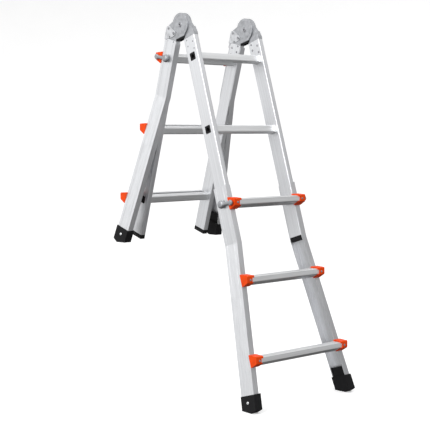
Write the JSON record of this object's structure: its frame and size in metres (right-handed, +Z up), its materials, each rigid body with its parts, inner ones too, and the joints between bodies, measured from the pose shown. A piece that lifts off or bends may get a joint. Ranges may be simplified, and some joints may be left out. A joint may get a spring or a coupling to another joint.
{
  "type": "multi position ladder",
  "caption": "Telescoping multi position ladder: two hinged halves with flared outer sections that slide and lock at the rungs, standing as a stepladder over a step.",
  "frame": {"origin": "centre of the bounding box in plan, on the floor under the front feet", "axes": "+X runs along the rungs, to the right as seen by a climber facing the front half; the front half leans toward -Y and the rear half toward +Y; +Z is up"},
  "size_m": [0.5494, 0.8862, 1.5241],
  "materials": {
    "rail_aluminium": "satin extruded, fine lengthwise grain",
    "rung_aluminium": "satin extruded with tread ribs",
    "hinge_casting": "cast, matt grey",
    "lever_casting": "pressed, satin",
    "lock_casting": "die cast, matt grey",
    "orange_plastic": "moulded, semi-matt",
    "black_rubber": "moulded rubber",
    "black_plastic": "moulded, matt",
    "steel": "zinc plated"
  },
  "bodies": {
    "front_inner_frame": {"front_rail_left": "rail_aluminium", "front_rail_right": "rail_aluminium", "front_rung_1": "rung_aluminium", "front_rung_2": "rung_aluminium", "front_rung_3": "rung_aluminium", "front_bushes": "black_plastic", "front_end_caps": "black_plastic", "hinge_arm_left": "hinge_casting", "hinge_arm_right": "hinge_casting", "front_hinge_rivets": "steel"},
    "rear_inner_frame": {"rear_rail_left": "rail_aluminium", "rear_rail_right": "rail_aluminium", "rear_rung_1": "rung_aluminium", "rear_rung_2": "rung_aluminium", "rear_rung_3": "rung_aluminium", "rear_bushes": "black_plastic", "rear_end_caps": "black_plastic", "hinge_fork_left": "hinge_casting", "hinge_fork_right": "hinge_casting", "rear_hinge_rivets": "steel", "hinge_pivot_pins": "steel", "hinge_guards": "black_plastic", "lever_pivot_pins": "steel", "hinge_lock_springs": "steel"},
    "front_outer_section": {"front_outer_rail_left": "rail_aluminium", "front_outer_rail_right": "rail_aluminium", "front_outer_rung_1": "rung_aluminium", "front_outer_rung_2": "rung_aluminium", "front_outer_rung_3": "rung_aluminium", "front_brackets_1": "orange_plastic", "front_brackets_2": "orange_plastic", "front_brackets_3": "orange_plastic", "front_bracket_rivets": "steel", "front_lock_springs": "steel", "front_foot_left": "black_rubber", "front_foot_right": "black_rubber", "front_foot_screws": "steel"},
    "rear_outer_section": {"rear_outer_rail_left": "rail_aluminium", "rear_outer_rail_right": "rail_aluminium", "rear_outer_rung_1": "rung_aluminium", "rear_outer_rung_2": "rung_aluminium", "rear_outer_rung_3": "rung_aluminium", "rear_brackets_1": "orange_plastic", "rear_brackets_2": "orange_plastic", "rear_brackets_3": "orange_plastic", "rear_bracket_rivets": "steel", "rear_lock_springs": "steel", "rear_foot_left": "black_rubber", "rear_foot_right": "black_rubber", "rear_foot_screws": "steel"},
    "front_lock_left": {"front_lock_left": "lock_casting"},
    "front_lock_right": {"front_lock_right": "lock_casting"},
    "rear_lock_left": {"rear_lock_left": "lock_casting"},
    "rear_lock_right": {"rear_lock_right": "lock_casting"},
    "hinge_lock_pin_left": {"hinge_lock_pin_left": "steel"},
    "release_lever_left": {"release_lever_left": "lever_casting"},
    "hinge_lock_pin_right": {"hinge_lock_pin_right": "steel"},
    "release_lever_right": {"release_lever_right": "lever_casting"}
  },
  "joints": [
    {"name": "main_hinge", "type": "hinge", "parent": "front_inner_frame", "child": "rear_inner_frame", "pos_m": [0, 0.09013, 1.47662], "axis": [1, 0, 0], "range_deg": [-34.4, 145.6]},
    {"name": "front_section_slide", "type": "slide", "parent": "front_inner_frame", "child": "front_outer_section", "axis": [0, -0.2957, -0.9553], "range_m": [-0.6096, 0]},
    {"name": "rear_section_slide", "type": "slide", "parent": "rear_inner_frame", "child": "rear_outer_section", "axis": [0, 0.2957, -0.9553], "range_m": [0, 0.6096]},
    {"name": "front_lock_left_pull", "type": "slide", "parent": "front_outer_section", "child": "front_lock_left", "axis": [-1, 0, 0], "range_m": [-0.004, 0.013], "stiffness_N_per_m": 600, "deforming": ["front_lock_springs"]},
    {"name": "front_lock_right_pull", "type": "slide", "parent": "front_outer_section", "child": "front_lock_right", "axis": [1, 0, 0], "range_m": [-0.004, 0.013], "stiffness_N_per_m": 600, "deforming": ["front_lock_springs"]},
    {"name": "rear_lock_left_pull", "type": "slide", "parent": "rear_outer_section", "child": "rear_lock_left", "axis": [-1, 0, 0], "range_m": [-0.004, 0.013], "stiffness_N_per_m": 600, "deforming": ["rear_lock_springs"]},
    {"name": "rear_lock_right_pull", "type": "slide", "parent": "rear_outer_section", "child": "rear_lock_right", "axis": [1, 0, 0], "range_m": [-0.004, 0.013], "stiffness_N_per_m": 600, "deforming": ["rear_lock_springs"]},
    {"name": "release_lever_left_turn", "type": "hinge", "parent": "rear_inner_frame", "child": "release_lever_left", "pos_m": [0, 0.16014, 1.46688], "axis": [1, 0, 0], "range_deg": [-4.8, 10.7], "stiffness_Nm_per_rad": 2},
    {"name": "hinge_lock_pin_left_slide", "type": "slide", "parent": "rear_inner_frame", "child": "hinge_lock_pin_left", "axis": [0, 0.7761, -0.6306], "range_m": [-0.0034, 0.0076], "stiffness_N_per_m": 120, "deforming": ["hinge_lock_springs"]},
    {"name": "release_lever_right_turn", "type": "hinge", "parent": "rear_inner_frame", "child": "release_lever_right", "pos_m": [0, 0.16014, 1.46688], "axis": [1, 0, 0], "range_deg": [-4.8, 10.7], "stiffness_Nm_per_rad": 2},
    {"name": "hinge_lock_pin_right_slide", "type": "slide", "parent": "rear_inner_frame", "child": "hinge_lock_pin_right", "axis": [0, 0.7761, -0.6306], "range_m": [-0.0034, 0.0076], "stiffness_N_per_m": 120, "deforming": ["hinge_lock_springs"]}
  ],
  "couplings": [
    {"joint": "hinge_lock_pin_left_slide", "follows": "release_lever_left_turn", "m_per_rad": 0.0405},
    {"joint": "hinge_lock_pin_right_slide", "follows": "release_lever_right_turn", "m_per_rad": 0.0405}
  ]
}
